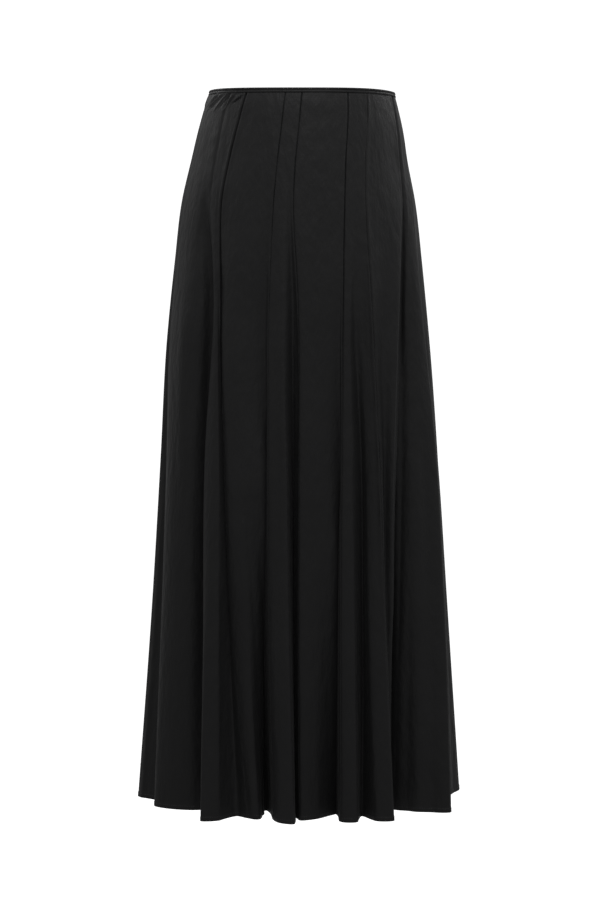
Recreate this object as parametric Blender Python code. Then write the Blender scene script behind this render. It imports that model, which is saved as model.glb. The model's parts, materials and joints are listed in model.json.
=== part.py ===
"""Long flared skirt: sixteen gores under a narrow waist binding, hollow, in its worn shape.

The cloth is one closed wave at every depth below the waist. The wave passes through guide lines that
run from waist to hem: the sixteen gore seams and the crests and troughs of the folds between them.
Each gore is a loft of that wave between its two seams, given the thickness of the cloth.

Metres, +Z up, the waist's centre at the origin. The front faces -Y and +X is on the viewer's right.
"""

import math
from typing import NamedTuple

import bpy
import numpy as np

# Driving sizes
LENGTH = 0.930
CLOTH = 0.0011
SEAM_GAP = 0.0003
FRONT_DIP = 0.005
BINDING_HEIGHT = 0.006
BINDING_PLY = 0.0008
BINDING_PLAY = 0.0004
GORE_TUCK = 0.0017

# Fineness of the lofts: rows down a gore, width of a cell at the hem, shares used to read directions
ROWS = 18
ROW_CROWDING = 1.25
CELL = 0.015
SPLINE_POWER = 0.5
NUDGE_ALONG = 0.02
NUDGE_DOWN = 0.0005

BLACK_CLOTH = (0.012, 0.012, 0.013)
BLACK_BINDING = (0.009, 0.009, 0.010)


class Section(NamedTuple):
    """Half sizes of the skirt, in millimetres, at a depth below the waist."""

    depth: float
    half_width: float
    half_depth: float
    shift: float


SECTIONS = (
    Section(depth=0, half_width=119, half_depth=90, shift=0),
    Section(depth=15, half_width=124, half_depth=94, shift=-1),
    Section(depth=45, half_width=132, half_depth=99, shift=-2),
    Section(depth=90, half_width=141, half_depth=105, shift=-4),
    Section(depth=140, half_width=152, half_depth=111, shift=-5),
    Section(depth=220, half_width=162, half_depth=119, shift=-5),
    Section(depth=325, half_width=173, half_depth=126, shift=-5),
    Section(depth=480, half_width=184, half_depth=134, shift=-3),
    Section(depth=670, half_width=196, half_depth=141, shift=-3),
    Section(depth=930, half_width=215, half_depth=150, shift=-4),
)

# Depths, in millimetres, at which the guide lines' angles and their reaches are given
STATIONS = (0, 140, 270, 480, 700, 930)
REACH_STATIONS = (0, 120, 270, 480, 930)


class Line(NamedTuple):
    """A guide line: its angle round the skirt at each station, in degrees from the front.

    The reaches are its distances from the middle, as shares of the section's half sizes.
    """

    kind: str
    waist: float
    hip: float
    thigh: float
    knee: float
    calf: float
    hem: float
    thigh_reach: float
    knee_reach: float
    hem_reach: float


LINES = (
    Line("seam", -82, -79, -77, -71.5, -67, -62.5, 1, 0.995, 0.99),
    Line("crest", -70, -62, -57, -61, -58.5, -55.5, 1.02, 1.01, 0.975),
    Line("flat", -61, -56, -50, -51.5, -50, -47, 0.99, 0.975, 0.9),
    Line("trough", -54, -52, -45.6, -48, -46.5, -41, 0.92, 0.87, 0.81),
    Line("seam", -49.8, -48, -40.8, -41.6, -37.5, -31.5, 0.985, 0.995, 1.06),
    Line("crest", -46, -45.5, -38.7, -37.3, -34.1, -30, 1.01, 1.03, 1.16),
    Line("crest", -42, -43.5, -37.7, -33.1, -29.7, -26.5, 1.01, 1.035, 1.12),
    Line("trough", -38.5, -41.7, -37.3, -33.2, -29, -24, 0.985, 0.965, 0.9),
    Line("seam", -35.5, -40, -36.8, -32.3, -26, -18.3, 0.975, 0.98, 0.95),
    Line("flat", -25, -31, -33.5, -29, -22.3, -15.6, 1.005, 1.01, 0.98),
    Line("crest", -19, -24, -26, -24, -19.5, -14.1, 1.01, 1.02, 0.97),
    Line("trough", -14, -17.5, -19, -17.5, -18.5, -20.3, 0.975, 0.94, 0.66),
    Line("trough", -12, -14.5, -15, -14.5, -16, -17.4, 0.945, 0.885, 0.62),
    Line("seam", -9.9, -11.8, -13, -12.6, -11.6, -8.8, 0.98, 0.975, 0.98),
    Line("crest", -7, -9, -9.3, -8.8, -7.8, -5.8, 1.005, 1.02, 1.08),
    Line("crest", -4, -6, -6.3, -5.9, -4.4, -2, 1.02, 1.05, 1.11),
    Line("trough", -1.9, -4, -2.8, -3.1, -2.7, -1.6, 0.935, 0.87, 0.83),
    Line("seam", 0, -2.4, -0.4, -0.9, -0.9, 0, 0.98, 0.98, 0.98),
    Line("crest", 8, 6, 6, 6, 6, 5.7, 0.985, 0.975, 0.94),
    Line("flat", 16, 13, 12.5, 12, 12, 12.2, 0.985, 0.95, 0.83),
    Line("trough", 25, 20, 18.4, 17.6, 18, 19.5, 0.98, 0.925, 0.72),
    Line("seam", 28.9, 22.6, 19.8, 16.6, 14.6, 13.4, 0.995, 1, 1.06),
    Line("crest", 32, 25, 22.4, 20.2, 18.4, 17.2, 1, 1.02, 1.1),
    Line("trough", 36, 28.2, 25.8, 27.1, 26.3, 24, 0.97, 0.925, 0.91),
    Line("crest", 39.5, 31, 28.7, 27.3, 25.2, 24.6, 0.99, 1, 1.11),
    Line("seam", 43.1, 33.9, 32.3, 30.8, 29.6, 29, 1.03, 1.065, 1.14),
    Line("flat", 53, 47, 40.4, 35.8, 33.1, 31.5, 0.99, 0.99, 1.05),
    Line("crest", 63, 58, 47.7, 37.6, 35, 34, 1.03, 1.05, 0.97),
    Line("trough", 68.5, 61, 55.5, 48.5, 46, 40.5, 0.92, 0.87, 0.69),
    Line("seam", 73.1, 63.4, 57.5, 50, 47, 44, 0.945, 0.92, 0.83),
    Line("flat", 79, 66.5, 61, 55, 50.6, 46.8, 0.985, 0.99, 0.98),
    Line("crest", 85, 69.7, 65, 61, 55.6, 49.5, 1.01, 1.035, 1.1),
    Line("seam", 90.4, 73.1, 69.2, 66.2, 60.1, 52.5, 1.01, 1.05, 1.14),
    Line("trough", 95, 79, 75, 75, 72.5, 68.5, 0.97, 0.94, 0.89),
    Line("crest", 101, 88, 86, 88, 89.5, 91, 0.99, 0.98, 0.96),
    Line("crest", 110, 97, 97, 98, 99.5, 101, 1, 1.01, 1.02),
    Line("seam", 118, 110, 109, 109, 110, 112, 1.01, 1.02, 1.03),
    Line("crest", 122, 115, 114, 114, 115, 117, 1.03, 1.06, 1.1),
    Line("trough", 128, 122, 121, 121, 122.5, 125, 0.98, 0.96, 0.93),
    Line("seam", 133, 127, 127, 127, 129, 132, 1.01, 1.03, 1.06),
    Line("crest", 139, 134, 134, 135, 136.5, 138, 1.02, 1.05, 1.09),
    Line("trough", 149, 146, 146, 146, 146, 146, 0.93, 0.85, 0.72),
    Line("flat", 157, 154, 154, 153, 152.5, 152, 0.95, 0.89, 0.8),
    Line("seam", 163, 160, 160, 159, 157.5, 156, 1.01, 1.02, 1.03),
    Line("crest", 167, 165, 165, 164, 162.5, 161, 1.03, 1.07, 1.13),
    Line("trough", 172, 171, 171, 171, 170.5, 170, 0.98, 0.96, 0.92),
    Line("seam", 177, 176, 176, 176.5, 177, 178, 1.01, 1.02, 1.03),
    Line("crest", 184, 184, 184, 184, 184.5, 185, 1.02, 1.04, 1.08),
    Line("trough", 193, 193, 193, 192.5, 192, 192, 0.92, 0.82, 0.67),
    Line("flat", 201, 201, 200, 199, 198, 197, 0.95, 0.88, 0.78),
    Line("seam", 208, 207, 206, 205, 203.5, 202, 1, 1.01, 1.02),
    Line("crest", 213, 212, 211, 210, 208.5, 207, 1.03, 1.07, 1.12),
    Line("trough", 219, 218, 217, 216.5, 216, 215, 0.98, 0.96, 0.93),
    Line("seam", 225, 224, 223, 222.5, 222, 222, 1.01, 1.03, 1.05),
    Line("crest", 232, 232, 231, 230.5, 230, 229, 1.02, 1.04, 1.08),
    Line("trough", 241, 243, 243, 243, 242, 241, 0.93, 0.85, 0.73),
    Line("crest", 250, 254, 255, 256, 254.5, 252, 1, 0.99, 0.99),
    Line("seam", 258, 263, 265, 266, 264.5, 262, 0.98, 0.96, 0.93),
    Line("crest", 268, 271, 273, 274, 274.5, 275, 1, 1, 1),
    Line("trough", 273, 276, 278, 280, 284, 289, 0.98, 0.95, 0.9),
)


def clear_scene():
    """Remove every object that the scene starts with."""
    for obj in list(bpy.data.objects):
        bpy.data.objects.remove(obj, do_unlink=True)


def spline_slopes(knots, values):
    """Slopes of a smooth curve at its knots; both run along the last axis."""
    step = np.diff(knots, axis=-1)
    chord = np.diff(values, axis=-1) / step
    before, after = step[..., :-1], step[..., 1:]
    inner = (chord[..., :-1] * after + chord[..., 1:] * before) / (before + after)
    return np.concatenate([chord[..., :1], inner, chord[..., -1:]], axis=-1)


def hermite(share, width, start, end, start_slope, end_slope):
    """Point at a share of a span whose ends and end slopes are given."""
    square = share * share
    cube = square * share
    return (
        (2 * cube - 3 * square + 1) * start
        + (cube - 2 * square + share) * width * start_slope
        + (3 * square - 2 * cube) * end
        + (cube - square) * width * end_slope
    )


def read_table(knots, values, at):
    """Smooth reading of a table column at one depth."""
    knots = np.asarray(knots, float)
    values = np.asarray(values, float)
    slopes = spline_slopes(knots, values)
    at = float(np.clip(at, knots[0], knots[-1]))
    span = int(np.clip(np.searchsorted(knots, at, side="right") - 1, 0, len(knots) - 2))
    width = knots[span + 1] - knots[span]
    share = (at - knots[span]) / width
    return hermite(share, width, values[span], values[span + 1], slopes[span], slopes[span + 1])


def section_at(depth):
    """Half width, half depth and sideways shift of the skirt at a depth, in metres."""
    depths = [row.depth for row in SECTIONS]
    columns = ("half_width", "half_depth", "shift")
    at = depth * 1000
    return tuple(read_table(depths, [getattr(row, name) for row in SECTIONS], at) / 1000 for name in columns)


def drop(depth, forward, half_depth):
    """Height of a point of the cloth, with the waist dipping at the front."""
    facing = max(forward / half_depth, 0.0)
    return -depth - FRONT_DIP * facing * facing * (1 - depth / LENGTH)


def guide_points(depth):
    """Plan points (across, forward) of every guide line at a depth."""
    half_width, half_depth, shift = section_at(depth)
    points = []
    for line in LINES:
        angles = (line.waist, line.hip, line.thigh, line.knee, line.calf, line.hem)
        angle = math.radians(read_table(STATIONS, angles, depth * 1000))
        reaches = (1, 1, line.thigh_reach, line.knee_reach, line.hem_reach)
        reach = read_table(REACH_STATIONS, reaches, depth * 1000)
        points.append((shift + half_width * reach * math.sin(angle), half_depth * reach * math.cos(angle)))
    return np.array(points)


class Wave:
    """The closed plan curve of the cloth at one depth, through the guide points."""

    def __init__(self, depth):
        points = guide_points(depth)
        count = len(points)
        around = np.vstack([points[-2:], points, points[:3]])
        chords = np.linalg.norm(np.diff(around, axis=0), axis=1)
        knots = np.concatenate([[0.0], np.cumsum(chords ** SPLINE_POWER)])
        slopes = spline_slopes(knots, around.T).T
        self.depth = depth
        self.half_depth = section_at(depth)[1]
        self.points = around[2:count + 3]
        self.slopes = slopes[2:count + 3]
        self.widths = np.diff(knots)[2:count + 2]
        self.chords = chords[2:count + 2]

    def at(self, span, share):
        """Point of the cloth's middle on a span between two guide lines."""
        width = self.widths[span]
        across, forward = hermite(
            share, width,
            self.points[span], self.points[span + 1],
            self.slopes[span], self.slopes[span + 1],
        )
        return np.array([across, -forward, drop(self.depth, forward, self.half_depth)])

    def gap_share(self, span):
        """Share of a span that is half a seam gap long."""
        return SEAM_GAP / 2 / self.chords[span]


def row_depths():
    """Depths of a gore's rows: one in the binding, then closer together near the waist."""
    start = BINDING_HEIGHT + GORE_TUCK
    shares = (np.arange(ROWS) / (ROWS - 1)) ** ROW_CROWDING
    return np.concatenate([[GORE_TUCK], start + (LENGTH - start) * shares])


def steps_in_span(span, hem_wave):
    """Number of cells across a span: one on short spans, more on long ones."""
    return max(1, round(hem_wave.chords[span] / CELL))


def gore_columns(first, last, hem_wave):
    """Places across a gore, as (span, share) pairs, from seam to seam."""
    columns = []
    for span in range(first, last):
        steps = steps_in_span(span, hem_wave)
        columns += [(span, step / steps) for step in range(steps)]
    columns.append((last - 1, 1.0))
    return columns


def gore_middle(columns, waves):
    """Grid of points on the cloth's middle, one row for each wave."""
    grid = []
    for wave in waves:
        row = [wave.at(span, share) for span, share in columns]
        first_span, last_span = columns[0][0], columns[-1][0]
        row[0] = wave.at(first_span, wave.gap_share(first_span))
        row[-1] = wave.at(last_span, 1 - wave.gap_share(last_span))
        grid.append(row)
    return np.array(grid)


def gore_normals(columns, waves, below):
    """Outward directions on the same grid, alike on both sides of a seam."""
    total = len(LINES)
    grid = []
    for wave, lower in zip(waves, below):
        row = []
        for span, share in columns:
            before = (span, share - NUDGE_ALONG) if share > 0 else ((span - 1) % total, 1 - NUDGE_ALONG)
            after = (span, share + NUDGE_ALONG) if share < 1 else ((span + 1) % total, NUDGE_ALONG)
            along = wave.at(*after) - wave.at(*before)
            down = lower.at(span, share) - wave.at(span, share)
            outward = np.cross(down, along)
            row.append(outward / np.linalg.norm(outward))
        grid.append(row)
    return np.array(grid)


def wall_mesh(name, outer, inner):
    """Closed mesh between an outer and an inner grid of points."""
    rows, columns = outer.shape[:2]
    points = [tuple(point) for point in np.concatenate([outer.reshape(-1, 3), inner.reshape(-1, 3)])]
    back = rows * columns
    faces = []
    for row in range(rows - 1):
        for column in range(columns - 1):
            a = row * columns + column
            b, c, d = a + columns, a + columns + 1, a + 1
            faces.append((a, b, c, d))
            faces.append((back + a, back + d, back + c, back + b))
    top = list(range(columns))
    bottom = [(rows - 1) * columns + column for column in range(columns)]
    left = [row * columns for row in range(rows)]
    right = [row * columns + columns - 1 for row in range(rows)]
    for rim, turned in ((top, False), (bottom, True), (left, True), (right, False)):
        for a, b in zip(rim, rim[1:]):
            face = (a, b, back + b, back + a)
            faces.append(face[::-1] if turned else face)
    mesh = bpy.data.meshes.new(name)
    mesh.from_pydata(points, [], faces)
    mesh.validate()
    mesh.shade_smooth()
    return mesh


def ring_mesh(name, rings):
    """Closed mesh from rings of points, one for each corner of a profile."""
    count = len(rings[0])
    points = [tuple(point) for ring in rings for point in ring]
    faces = []
    for index in range(len(rings)):
        this, following = index * count, (index + 1) % len(rings) * count
        for step in range(count):
            ahead = (step + 1) % count
            faces.append((this + step, following + step, following + ahead, this + ahead))
    mesh = bpy.data.meshes.new(name)
    mesh.from_pydata(points, [], faces)
    mesh.validate()
    mesh.shade_smooth()
    return mesh


def cloth_material(name, colour, roughness):
    """Principled material of a dull black cloth."""
    material = bpy.data.materials.new(name)
    material.use_nodes = True
    shader = material.node_tree.nodes["Principled BSDF"]
    shader.inputs["Base Color"].default_value = (*colour, 1.0)
    shader.inputs["Roughness"].default_value = roughness
    shader.inputs["Metallic"].default_value = 0.0
    return material


def place(name, mesh, colour, roughness, collection):
    """Put a mesh in the collection as a named object with its own material."""
    mesh.materials.append(cloth_material(name + "_cloth", colour, roughness))
    obj = bpy.data.objects.new(name, mesh)
    collection.objects.link(obj)
    return obj


def binding_ring(depth, offset, columns):
    """Ring of points that stands off the cloth's middle by an offset, at a depth."""
    wave = Wave(depth)
    middle = [wave.at(span, share) for span, share in columns]
    ring = []
    for index, point in enumerate(middle):
        along = middle[(index + 1) % len(middle)] - middle[index - 1]
        outward = np.array([along[1], -along[0], 0.0]) / math.hypot(along[0], along[1])
        ring.append(point + offset * outward)
    return ring


def build_binding(collection):
    """Binding folded over the cloth's top edge, a channel open downwards."""
    columns = gore_columns(0, len(LINES), Wave(LENGTH))[:-1]
    near = CLOTH / 2 + BINDING_PLAY
    far = near + BINDING_PLY
    profile = (
        (0.0, far),
        (BINDING_HEIGHT, far),
        (BINDING_HEIGHT, near),
        (BINDING_PLY, near),
        (BINDING_PLY, -near),
        (BINDING_HEIGHT, -near),
        (BINDING_HEIGHT, -far),
        (0.0, -far),
    )
    rings = [binding_ring(depth, offset, columns) for depth, offset in profile]
    return place("waist_binding", ring_mesh("waist_binding", rings), BLACK_BINDING, 0.55, collection)


def build_gores(collection):
    """All sixteen gores, wide and narrow in turn."""
    depths = row_depths()
    waves = [Wave(depth) for depth in depths]
    below = [Wave(depth + NUDGE_DOWN) for depth in depths]
    seams = [index for index, line in enumerate(LINES) if line.kind == "seam"]
    seams.append(len(LINES))
    for order, (first, last) in enumerate(zip(seams, seams[1:])):
        width = "wide" if order % 2 == 0 else "narrow"
        name = f"gore_{width}_{order // 2 + 1}"
        columns = gore_columns(first, last, waves[-1])
        middle = gore_middle(columns, waves)
        outward = gore_normals(columns, waves, below) * CLOTH / 2
        place(name, wall_mesh(name, middle + outward, middle - outward), BLACK_CLOTH, 0.6, collection)


def main():
    """Build the skirt."""
    clear_scene()
    collection = bpy.data.collections.new("flared_skirt")
    bpy.context.scene.collection.children.link(collection)
    build_binding(collection)
    build_gores(collection)


main()
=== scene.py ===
"""Looks of the long flared skirt: sixteen gores of black crepe under a narrow waist binding.

The skirt's form is worked out again from the same named sizes and guide lines as its solids: at every
depth the cloth is one closed wave through lines that run from waist to hem. The shells of the gores
follow that wave, and take on what the solids leave out: the sunk line of each seam, puckers, soft
creases, the turned hem and the pressed seam allowances inside.

Metres, +Z up, the waist's centre at the origin. The front faces -Y and +X is on the viewer's right.
"""

import json
import logging
import math
from dataclasses import dataclass, field
from enum import Enum
from typing import NamedTuple

import bpy
import numpy as np
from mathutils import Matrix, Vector

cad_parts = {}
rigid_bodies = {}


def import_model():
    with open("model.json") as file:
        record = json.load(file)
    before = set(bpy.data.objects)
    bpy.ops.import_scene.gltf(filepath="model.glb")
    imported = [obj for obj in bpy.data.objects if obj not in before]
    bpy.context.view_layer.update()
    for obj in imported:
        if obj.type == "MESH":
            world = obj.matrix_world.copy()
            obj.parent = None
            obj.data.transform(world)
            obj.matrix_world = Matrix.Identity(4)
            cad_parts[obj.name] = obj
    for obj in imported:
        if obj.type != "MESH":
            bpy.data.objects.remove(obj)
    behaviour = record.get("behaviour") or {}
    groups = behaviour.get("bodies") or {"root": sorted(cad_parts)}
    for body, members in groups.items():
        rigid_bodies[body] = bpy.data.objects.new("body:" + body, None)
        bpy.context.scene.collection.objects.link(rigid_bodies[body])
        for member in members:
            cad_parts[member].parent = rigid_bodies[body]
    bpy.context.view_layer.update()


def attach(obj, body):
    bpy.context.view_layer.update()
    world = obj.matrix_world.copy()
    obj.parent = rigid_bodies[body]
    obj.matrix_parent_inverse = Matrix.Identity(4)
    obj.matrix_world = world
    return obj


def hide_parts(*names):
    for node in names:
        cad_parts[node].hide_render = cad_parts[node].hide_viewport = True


log = logging.getLogger("skirt")

MM = 0.001
BODY = "root"
WHITE = (1.0, 1.0, 1.0, 1.0)
SHARP_ANGLE = 60
PLAIN_DETAIL, FINE_DETAIL = 2.0, 3.0
HEM_STITCH_DEPTH = 0.925


class LineKind(Enum):
    """What a guide line is on the cloth."""

    SEAM = "seam"
    CREST = "crest"
    FLAT = "flat"
    TROUGH = "trough"


class Section(NamedTuple):
    """Half sizes of the skirt, in millimetres, at a depth below the waist."""

    depth: float
    half_width: float
    half_depth: float
    shift: float


class GuideLine(NamedTuple):
    """A line from waist to hem: its angle from the front at each station, in degrees.

    The reaches are its distances from the middle, as shares of the section's half sizes.
    """

    kind: LineKind
    waist: float
    hip: float
    thigh: float
    knee: float
    calf: float
    hem: float
    thigh_reach: float
    knee_reach: float
    hem_reach: float


SECTIONS = (
    Section(0, 119, 90, 0),
    Section(15, 124, 94, -1),
    Section(45, 132, 99, -2),
    Section(90, 141, 105, -4),
    Section(140, 152, 111, -5),
    Section(220, 162, 119, -5),
    Section(325, 173, 126, -5),
    Section(480, 184, 134, -3),
    Section(670, 196, 141, -3),
    Section(930, 215, 150, -4),
)

# Depths, in millimetres, at which the guide lines' angles and their reaches are given
STATIONS = (0, 140, 270, 480, 700, 930)
REACH_STATIONS = (0, 120, 270, 480, 930)

SEAM, CREST, FLAT, TROUGH = LineKind.SEAM, LineKind.CREST, LineKind.FLAT, LineKind.TROUGH

GUIDE_LINES = (
    GuideLine(SEAM, -82, -79, -77, -71.5, -67, -62.5, 1, 0.995, 0.99),
    GuideLine(CREST, -70, -62, -57, -61, -58.5, -55.5, 1.02, 1.01, 0.975),
    GuideLine(FLAT, -61, -56, -50, -51.5, -50, -47, 0.99, 0.975, 0.9),
    GuideLine(TROUGH, -54, -52, -45.6, -48, -46.5, -41, 0.92, 0.87, 0.81),
    GuideLine(SEAM, -49.8, -48, -40.8, -41.6, -37.5, -31.5, 0.985, 0.995, 1.06),
    GuideLine(CREST, -46, -45.5, -38.7, -37.3, -34.1, -30, 1.01, 1.03, 1.16),
    GuideLine(CREST, -42, -43.5, -37.7, -33.1, -29.7, -26.5, 1.01, 1.035, 1.12),
    GuideLine(TROUGH, -38.5, -41.7, -37.3, -33.2, -29, -24, 0.985, 0.965, 0.9),
    GuideLine(SEAM, -35.5, -40, -36.8, -32.3, -26, -18.3, 0.975, 0.98, 0.95),
    GuideLine(FLAT, -25, -31, -33.5, -29, -22.3, -15.6, 1.005, 1.01, 0.98),
    GuideLine(CREST, -19, -24, -26, -24, -19.5, -14.1, 1.01, 1.02, 0.97),
    GuideLine(TROUGH, -14, -17.5, -19, -17.5, -18.5, -20.3, 0.975, 0.94, 0.66),
    GuideLine(TROUGH, -12, -14.5, -15, -14.5, -16, -17.4, 0.945, 0.885, 0.62),
    GuideLine(SEAM, -9.9, -11.8, -13, -12.6, -11.6, -8.8, 0.98, 0.975, 0.98),
    GuideLine(CREST, -7, -9, -9.3, -8.8, -7.8, -5.8, 1.005, 1.02, 1.08),
    GuideLine(CREST, -4, -6, -6.3, -5.9, -4.4, -2, 1.02, 1.05, 1.11),
    GuideLine(TROUGH, -1.9, -4, -2.8, -3.1, -2.7, -1.6, 0.935, 0.87, 0.83),
    GuideLine(SEAM, 0, -2.4, -0.4, -0.9, -0.9, 0, 0.98, 0.98, 0.98),
    GuideLine(CREST, 8, 6, 6, 6, 6, 5.7, 0.985, 0.975, 0.94),
    GuideLine(FLAT, 16, 13, 12.5, 12, 12, 12.2, 0.985, 0.95, 0.83),
    GuideLine(TROUGH, 25, 20, 18.4, 17.6, 18, 19.5, 0.98, 0.925, 0.72),
    GuideLine(SEAM, 28.9, 22.6, 19.8, 16.6, 14.6, 13.4, 0.995, 1, 1.06),
    GuideLine(CREST, 32, 25, 22.4, 20.2, 18.4, 17.2, 1, 1.02, 1.1),
    GuideLine(TROUGH, 36, 28.2, 25.8, 27.1, 26.3, 24, 0.97, 0.925, 0.91),
    GuideLine(CREST, 39.5, 31, 28.7, 27.3, 25.2, 24.6, 0.99, 1, 1.11),
    GuideLine(SEAM, 43.1, 33.9, 32.3, 30.8, 29.6, 29, 1.03, 1.065, 1.14),
    GuideLine(FLAT, 53, 47, 40.4, 35.8, 33.1, 31.5, 0.99, 0.99, 1.05),
    GuideLine(CREST, 63, 58, 47.7, 37.6, 35, 34, 1.03, 1.05, 0.97),
    GuideLine(TROUGH, 68.5, 61, 55.5, 48.5, 46, 40.5, 0.92, 0.87, 0.69),
    GuideLine(SEAM, 73.1, 63.4, 57.5, 50, 47, 44, 0.945, 0.92, 0.83),
    GuideLine(FLAT, 79, 66.5, 61, 55, 50.6, 46.8, 0.985, 0.99, 0.98),
    GuideLine(CREST, 85, 69.7, 65, 61, 55.6, 49.5, 1.01, 1.035, 1.1),
    GuideLine(SEAM, 90.4, 73.1, 69.2, 66.2, 60.1, 52.5, 1.01, 1.05, 1.14),
    GuideLine(TROUGH, 95, 79, 75, 75, 72.5, 68.5, 0.97, 0.94, 0.89),
    GuideLine(CREST, 101, 88, 86, 88, 89.5, 91, 0.99, 0.98, 0.96),
    GuideLine(CREST, 110, 97, 97, 98, 99.5, 101, 1, 1.01, 1.02),
    GuideLine(SEAM, 118, 110, 109, 109, 110, 112, 1.01, 1.02, 1.03),
    GuideLine(CREST, 122, 115, 114, 114, 115, 117, 1.03, 1.06, 1.1),
    GuideLine(TROUGH, 128, 122, 121, 121, 122.5, 125, 0.98, 0.96, 0.93),
    GuideLine(SEAM, 133, 127, 127, 127, 129, 132, 1.01, 1.03, 1.06),
    GuideLine(CREST, 139, 134, 134, 135, 136.5, 138, 1.02, 1.05, 1.09),
    GuideLine(TROUGH, 149, 146, 146, 146, 146, 146, 0.93, 0.85, 0.72),
    GuideLine(FLAT, 157, 154, 154, 153, 152.5, 152, 0.95, 0.89, 0.8),
    GuideLine(SEAM, 163, 160, 160, 159, 157.5, 156, 1.01, 1.02, 1.03),
    GuideLine(CREST, 167, 165, 165, 164, 162.5, 161, 1.03, 1.07, 1.13),
    GuideLine(TROUGH, 172, 171, 171, 171, 170.5, 170, 0.98, 0.96, 0.92),
    GuideLine(SEAM, 177, 176, 176, 176.5, 177, 178, 1.01, 1.02, 1.03),
    GuideLine(CREST, 184, 184, 184, 184, 184.5, 185, 1.02, 1.04, 1.08),
    GuideLine(TROUGH, 193, 193, 193, 192.5, 192, 192, 0.92, 0.82, 0.67),
    GuideLine(FLAT, 201, 201, 200, 199, 198, 197, 0.95, 0.88, 0.78),
    GuideLine(SEAM, 208, 207, 206, 205, 203.5, 202, 1, 1.01, 1.02),
    GuideLine(CREST, 213, 212, 211, 210, 208.5, 207, 1.03, 1.07, 1.12),
    GuideLine(TROUGH, 219, 218, 217, 216.5, 216, 215, 0.98, 0.96, 0.93),
    GuideLine(SEAM, 225, 224, 223, 222.5, 222, 222, 1.01, 1.03, 1.05),
    GuideLine(CREST, 232, 232, 231, 230.5, 230, 229, 1.02, 1.04, 1.08),
    GuideLine(TROUGH, 241, 243, 243, 243, 242, 241, 0.93, 0.85, 0.73),
    GuideLine(CREST, 250, 254, 255, 256, 254.5, 252, 1, 0.99, 0.99),
    GuideLine(SEAM, 258, 263, 265, 266, 264.5, 262, 0.98, 0.96, 0.93),
    GuideLine(CREST, 268, 271, 273, 274, 274.5, 275, 1, 1, 1),
    GuideLine(TROUGH, 273, 276, 278, 280, 284, 289, 0.98, 0.95, 0.9),
)


class RowZone(NamedTuple):
    """A stretch of the shells' rows, in millimetres below the waist, and the step between them."""

    start: float
    end: float
    step: float


ROW_ZONES = (
    RowZone(1.7, 6, 1.4),
    RowZone(6, 50, 1.5),
    RowZone(50, 140, 3.0),
    RowZone(140, 918, 5.6),
    RowZone(918, 925, 1.4),
    RowZone(925, 930, 1.0),
)


class SeamLook(NamedTuple):
    """How a seam lies, in millimetres: its sunk line and the cloth beside it.

    uneven is the share of the groove that comes and goes. Below the depth `soft_from` the folds take
    over and only the share `kept` of the seam's relief is left.
    """

    groove: float
    width: float
    ridge: float
    uneven: float
    soft_from: float
    kept: float


SEAM_LOOKS = (
    SeamLook(0.7, 1.1, 0.15, 0.30, 930, 1.0),
    SeamLook(1.0, 2.2, 0.10, 0.20, 150, 0.2),
    SeamLook(3.0, 1.1, 0.75, 0.08, 480, 0.05),
    SeamLook(1.6, 0.8, 0.15, 0.45, 930, 1.0),
    SeamLook(1.7, 0.8, 0.00, 0.35, 930, 1.0),
    SeamLook(2.4, 0.9, 0.45, 0.15, 330, 0.5),
    SeamLook(1.4, 0.8, 0.90, 0.15, 580, 0.2),
    SeamLook(4.2, 2.4, 0.80, 0.10, 270, 0.1),
    SeamLook(0.7, 1.1, 0.20, 0.30, 930, 1.0),
    SeamLook(1.3, 1.0, 0.30, 0.25, 700, 0.6),
    SeamLook(1.0, 1.2, 0.25, 0.40, 600, 0.7),
    SeamLook(1.4, 1.0, 0.30, 0.20, 800, 0.7),
    SeamLook(1.2, 0.9, 0.20, 0.50, 930, 1.0),
    SeamLook(1.5, 1.1, 0.35, 0.15, 750, 0.6),
    SeamLook(1.0, 1.4, 0.20, 0.35, 600, 0.7),
    SeamLook(1.3, 1.0, 0.30, 0.25, 930, 1.0),
)


class Crease(NamedTuple):
    """A soft ridge, or a trough where the height is negative, along a line on the cloth.

    Its ends are places across the gores, counted from the first gore's left seam, and depths below
    the waist in millimetres. Its width and height are in millimetres too.
    """

    start_gore: float
    start_depth: float
    end_gore: float
    end_depth: float
    width: float
    height: float


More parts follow.
